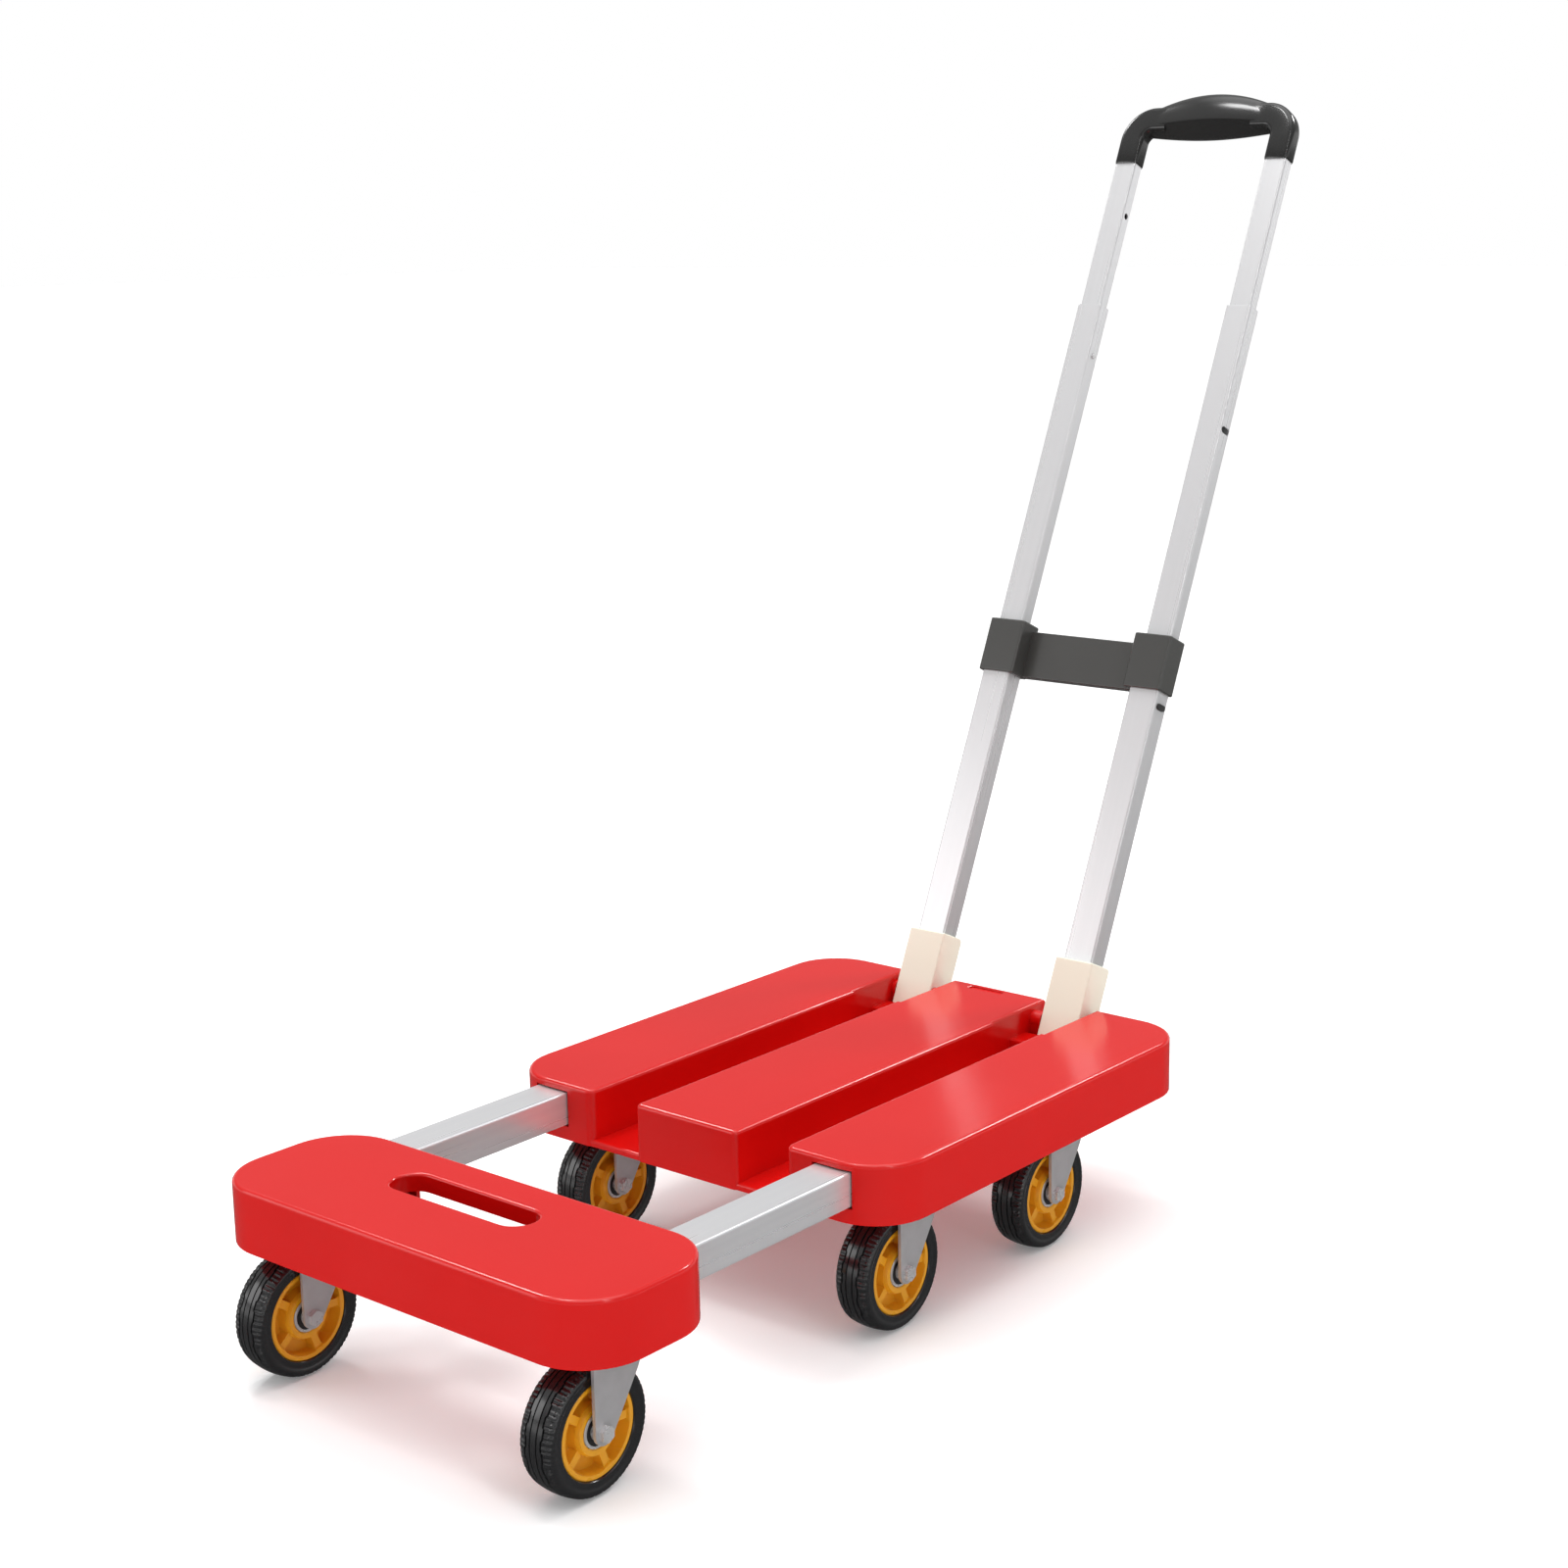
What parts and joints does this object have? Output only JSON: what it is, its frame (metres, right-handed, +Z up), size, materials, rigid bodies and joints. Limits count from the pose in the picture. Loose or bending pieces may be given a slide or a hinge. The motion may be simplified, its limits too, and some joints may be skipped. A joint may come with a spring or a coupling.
{
  "type": "folding platform cart",
  "caption": "Folding platform cart with a slatted deck, a pull-out front board on swivel casters and a telescopic handle that folds down over the deck",
  "frame": {"origin": "on the floor, below the middle of the bounding box of the opened cart", "axes": "+X to the right across the cart, +Y back towards the handle, +Z up"},
  "size_m": [0.34, 0.942, 0.8048],
  "materials": {
    "red_shell": "smooth glossy red moulding",
    "red_plate": "glossy red plate",
    "screws": "zinc plated steel",
    "black_guide": "matt black plastic",
    "steel_rod": "bright steel rod",
    "caster_steel": "zinc plated pressed steel",
    "tube_aluminium": "bright satin aluminium, drawn lengthwise",
    "beige_socket": "smooth cream plastic",
    "dark_crossbar": "satin dark grey plastic",
    "black_grip": "glossy black plastic",
    "button_black": "satin black plastic",
    "button_steel": "bright steel",
    "hub_orange": "glossy orange plastic",
    "bearing": "bearing with a pale seal",
    "tyre_black": "smooth black tyre"
  },
  "bodies": {
    "deck": {"deck_shell": "red_shell", "deck_base_plate": "red_plate", "deck_screws": "screws", "deck_tube_bushes": "black_guide", "hinge_rod": "steel_rod", "deck_caster_mounts": "caster_steel"},
    "fold_release": {"fold_release_tab": "red_shell"},
    "board": {"board_shell": "red_shell", "board_base_plate": "red_plate", "board_screws": "screws", "board_caster_mounts": "caster_steel", "extension_tube_left": "tube_aluminium", "extension_tube_right": "tube_aluminium", "extension_tube_stops": "black_guide"},
    "handle_lower": {"handle_socket_left": "beige_socket", "handle_socket_right": "beige_socket", "lower_tube_left": "tube_aluminium", "lower_tube_right": "tube_aluminium", "crossbar": "dark_crossbar"},
    "handle_middle": {"middle_tube_left": "tube_aluminium", "middle_tube_right": "tube_aluminium", "middle_tube_plugs": "black_guide"},
    "handle_top": {"top_tube_left": "tube_aluminium", "top_tube_right": "tube_aluminium", "top_tube_plugs": "black_guide", "grip": "black_grip"},
    "lower_button_left_body": {"lower_button_left": "button_black"},
    "lower_button_right_body": {"lower_button_right": "button_black"},
    "upper_button_left_body": {"upper_button_left": "button_steel"},
    "upper_button_right_body": {"upper_button_right": "button_steel"},
    "swivel_front_left": {"fork_front_left": "caster_steel", "axle_front_left": "screws"},
    "wheel_front_left": {"hub_front_left": "hub_orange", "bearings_front_left": "bearing", "tyre_front_left": "tyre_black"},
    "swivel_front_right": {"fork_front_right": "caster_steel", "axle_front_right": "screws"},
    "wheel_front_right": {"hub_front_right": "hub_orange", "bearings_front_right": "bearing", "tyre_front_right": "tyre_black"},
    "swivel_middle_left": {"fork_middle_left": "caster_steel", "axle_middle_left": "screws"},
    "wheel_middle_left": {"hub_middle_left": "hub_orange", "bearings_middle_left": "bearing", "tyre_middle_left": "tyre_black"},
    "swivel_middle_right": {"fork_middle_right": "caster_steel", "axle_middle_right": "screws"},
    "wheel_middle_right": {"hub_middle_right": "hub_orange", "bearings_middle_right": "bearing", "tyre_middle_right": "tyre_black"},
    "swivel_rear_left": {"fork_rear_left": "caster_steel", "axle_rear_left": "screws"},
    "wheel_rear_left": {"hub_rear_left": "hub_orange", "bearings_rear_left": "bearing", "tyre_rear_left": "tyre_black"},
    "swivel_rear_right": {"fork_rear_right": "caster_steel", "axle_rear_right": "screws"},
    "wheel_rear_right": {"hub_rear_right": "hub_orange", "bearings_rear_right": "bearing", "tyre_rear_right": "tyre_black"}
  },
  "joints": [
    {"name": "board_slide", "type": "slide", "parent": "deck", "child": "board", "axis": [0, 1, 0], "range_m": [0, 0.145]},
    {"name": "handle_fold", "type": "hinge", "parent": "deck", "child": "handle_lower", "pos_m": [0, 0.14623, 0.12], "axis": [1, 0, 0], "range_deg": [0, 111.5]},
    {"name": "middle_slide", "type": "slide", "parent": "handle_lower", "child": "handle_middle", "axis": [0, -0.4115, -0.9114], "range_m": [0, 0.222]},
    {"name": "top_slide", "type": "slide", "parent": "handle_middle", "child": "handle_top", "axis": [0, -0.4115, -0.9114], "range_m": [0, 0.12]},
    {"name": "fold_release_press", "type": "slide", "parent": "deck", "child": "fold_release", "axis": [0, 0, -1], "range_m": [0, 0.003], "stiffness_N_per_m": 500},
    {"name": "lower_press_left", "type": "slide", "parent": "handle_lower", "child": "lower_button_left_body", "axis": [1, 0, 0], "range_m": [0, 0.0018], "stiffness_N_per_m": 400},
    {"name": "upper_press_left", "type": "slide", "parent": "handle_middle", "child": "upper_button_left_body", "axis": [-1, 0, 0], "range_m": [0, 0.0018], "stiffness_N_per_m": 400},
    {"name": "lower_press_right", "type": "slide", "parent": "handle_lower", "child": "lower_button_right_body", "axis": [-1, 0, 0], "range_m": [0, 0.0018], "stiffness_N_per_m": 400},
    {"name": "upper_press_right", "type": "slide", "parent": "handle_middle", "child": "upper_button_right_body", "axis": [1, 0, 0], "range_m": [0, 0.0018], "stiffness_N_per_m": 400},
    {"name": "swivel_front_left", "type": "hinge", "parent": "board", "child": "swivel_front_left", "pos_m": [-0.127, -0.41397, 0.085], "axis": [0, 0, 1], "continuous": true},
    {"name": "wheel_spin_front_left", "type": "hinge", "parent": "swivel_front_left", "child": "wheel_front_left", "pos_m": [-0.127, -0.42997, 0.041], "axis": [1, 0, 0], "continuous": true},
    {"name": "swivel_front_right", "type": "hinge", "parent": "board", "child": "swivel_front_right", "pos_m": [0.127, -0.41397, 0.085], "axis": [0, 0, 1], "continuous": true},
    {"name": "wheel_spin_front_right", "type": "hinge", "parent": "swivel_front_right", "child": "wheel_front_right", "pos_m": [0.127, -0.42997, 0.041], "axis": [1, 0, 0], "continuous": true},
    {"name": "swivel_middle_left", "type": "hinge", "parent": "deck", "child": "swivel_middle_left", "pos_m": [-0.127, -0.12967, 0.085], "axis": [0, 0, 1], "continuous": true},
    {"name": "wheel_spin_middle_left", "type": "hinge", "parent": "swivel_middle_left", "child": "wheel_middle_left", "pos_m": [-0.127, -0.14567, 0.041], "axis": [1, 0, 0], "continuous": true},
    {"name": "swivel_middle_right", "type": "hinge", "parent": "deck", "child": "swivel_middle_right", "pos_m": [0.127, -0.12967, 0.085], "axis": [0, 0, 1], "continuous": true},
    {"name": "wheel_spin_middle_right", "type": "hinge", "parent": "swivel_middle_right", "child": "wheel_middle_right", "pos_m": [0.127, -0.14567, 0.041], "axis": [1, 0, 0], "continuous": true},
    {"name": "swivel_rear_left", "type": "hinge", "parent": "deck", "child": "swivel_rear_left", "pos_m": [-0.127, 0.04363, 0.085], "axis": [0, 0, 1], "continuous": true},
    {"name": "wheel_spin_rear_left", "type": "hinge", "parent": "swivel_rear_left", "child": "wheel_rear_left", "pos_m": [-0.127, 0.02763, 0.041], "axis": [1, 0, 0], "continuous": true},
    {"name": "swivel_rear_right", "type": "hinge", "parent": "deck", "child": "swivel_rear_right", "pos_m": [0.127, 0.04363, 0.085], "axis": [0, 0, 1], "continuous": true},
    {"name": "wheel_spin_rear_right", "type": "hinge", "parent": "swivel_rear_right", "child": "wheel_rear_right", "pos_m": [0.127, 0.02763, 0.041], "axis": [1, 0, 0], "continuous": true}
  ]
}
